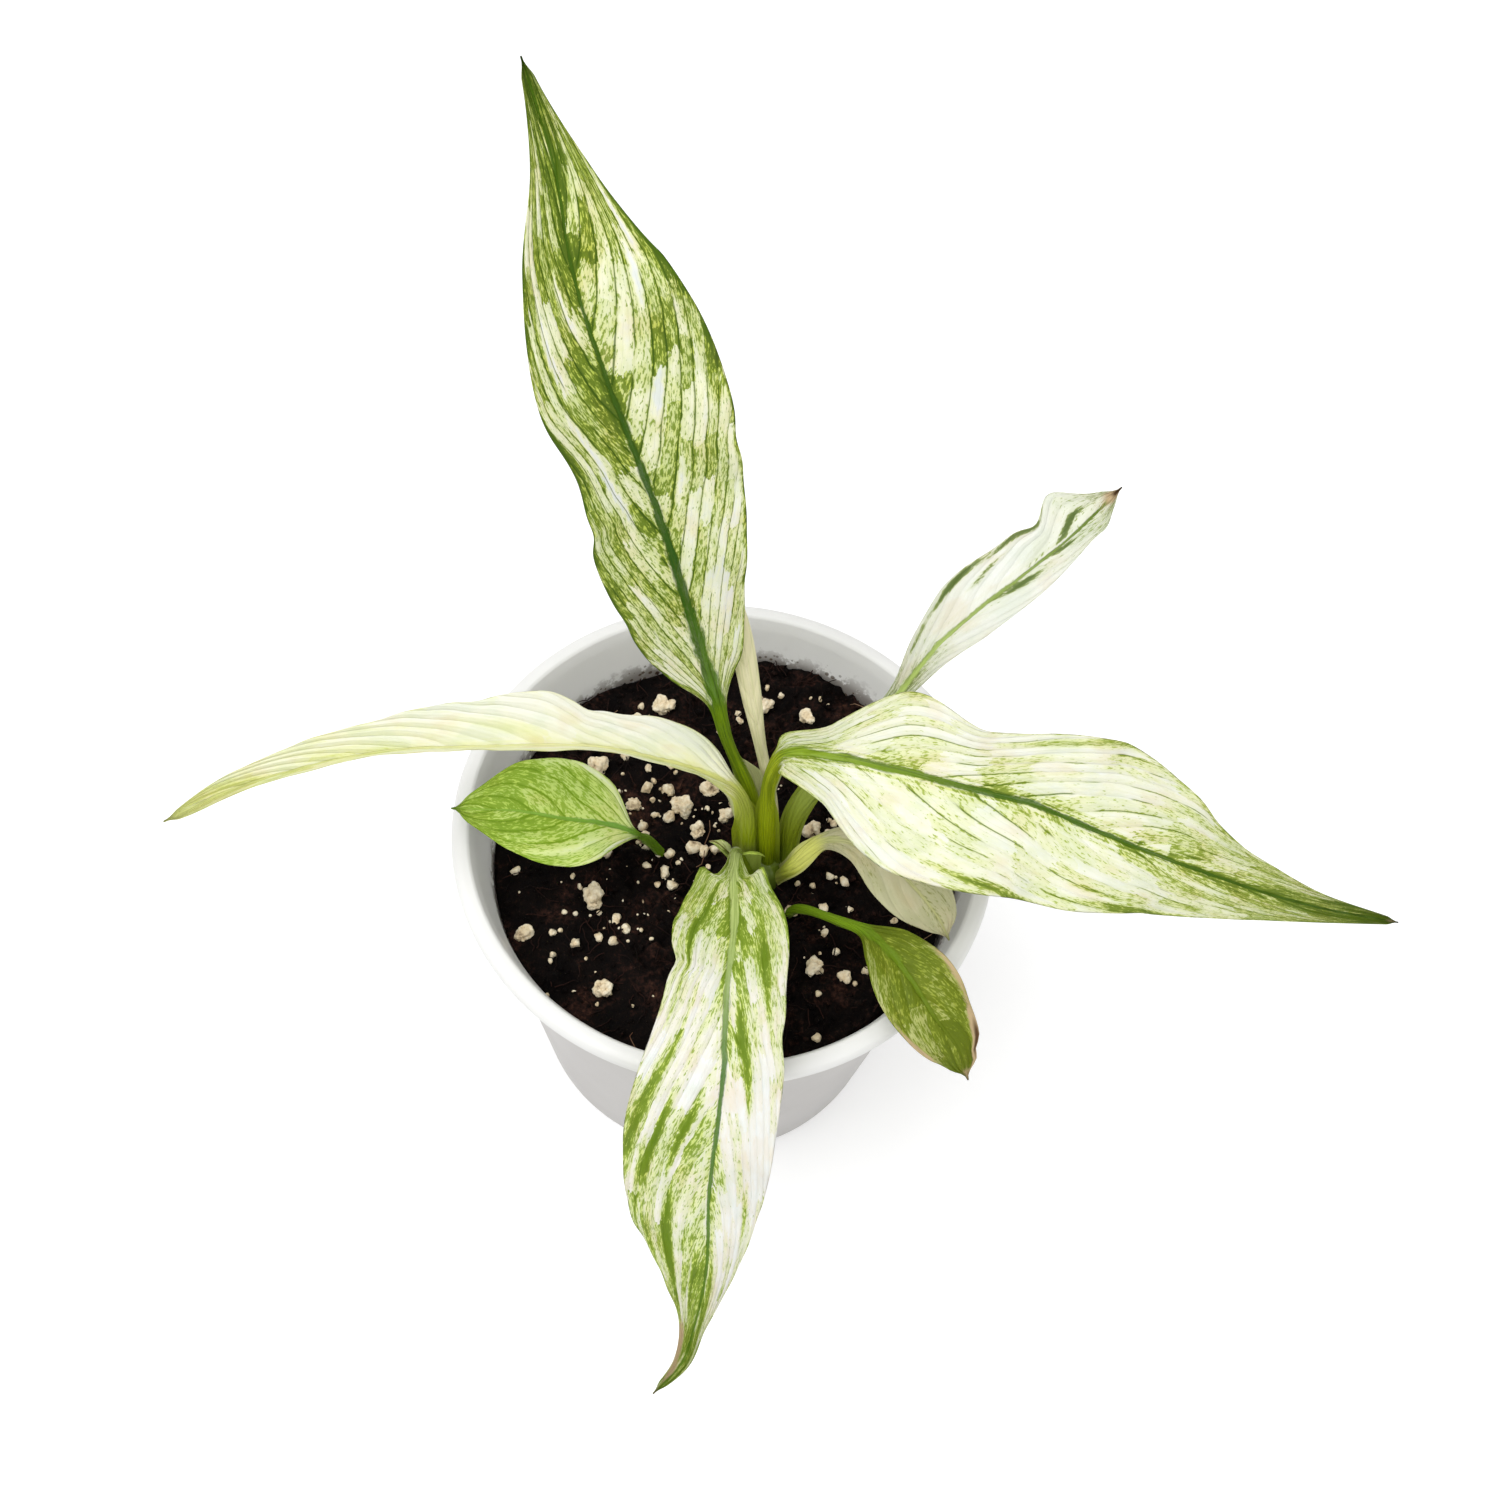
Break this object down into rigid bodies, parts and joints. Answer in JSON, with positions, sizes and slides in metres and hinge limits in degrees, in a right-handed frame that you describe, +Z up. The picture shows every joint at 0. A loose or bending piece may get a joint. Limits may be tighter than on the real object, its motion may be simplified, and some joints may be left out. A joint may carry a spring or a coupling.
{
  "type": "potted peace lily",
  "caption": "Small variegated peace lily with long pointed cream and green leaves in a round white plastic nursery pot with soil and perlite.",
  "frame": {"origin": "centre of the pot's flat underside", "axes": "+Z up along the pot's axis; -Y towards the side the front leaf hangs over; +X towards the side the widest leaf reaches over"},
  "size_m": [0.2423, 0.1562, 0.2192],
  "materials": {
    "pot": "white, slightly translucent, satin",
    "soil": "damp dark potting mix, rough",
    "crown": "living plant tissue, satin",
    "sheath": "living plant tissue, satin",
    "perlite": "expanded white grains, chalky",
    "leaf_tall": "cream with dense green mottling, satin",
    "leaf_right": "cream with light green streaks, satin",
    "leaf_front": "cream with green patches, satin",
    "leaf_left": "ivory, satin",
    "leaf_small_left": "light green with darker veins, satin",
    "leaf_back_right": "white and pale green with a green margin, satin",
    "leaf_under_right": "beige cream with green flecks, satin",
    "leaf_small_front_right": "dark olive green, satin",
    "leaf_pale_behind": "cream yellow, satin"
  },
  "bodies": {
    "root": {"pot": "pot", "soil": "soil", "crown": "crown", "sheath_front": "sheath", "sheath_curl": "sheath", "leaf_tall": "leaf_tall", "leaf_right": "leaf_right", "leaf_front": "leaf_front", "leaf_left": "leaf_left", "leaf_small_left": "leaf_small_left", "leaf_back_right": "leaf_back_right", "leaf_under_right": "leaf_under_right", "leaf_small_front_right": "leaf_small_front_right", "leaf_pale_behind": "leaf_pale_behind", "perlite_01": "perlite", "perlite_02": "perlite", "perlite_03": "perlite", "perlite_04": "perlite", "perlite_05": "perlite", "perlite_06": "perlite", "perlite_07": "perlite", "perlite_08": "perlite", "perlite_09": "perlite", "perlite_10": "perlite", "perlite_11": "perlite", "perlite_12": "perlite", "perlite_13": "perlite", "perlite_14": "perlite", "perlite_15": "perlite", "perlite_16": "perlite", "perlite_17": "perlite"}
  },
  "joints": []
}
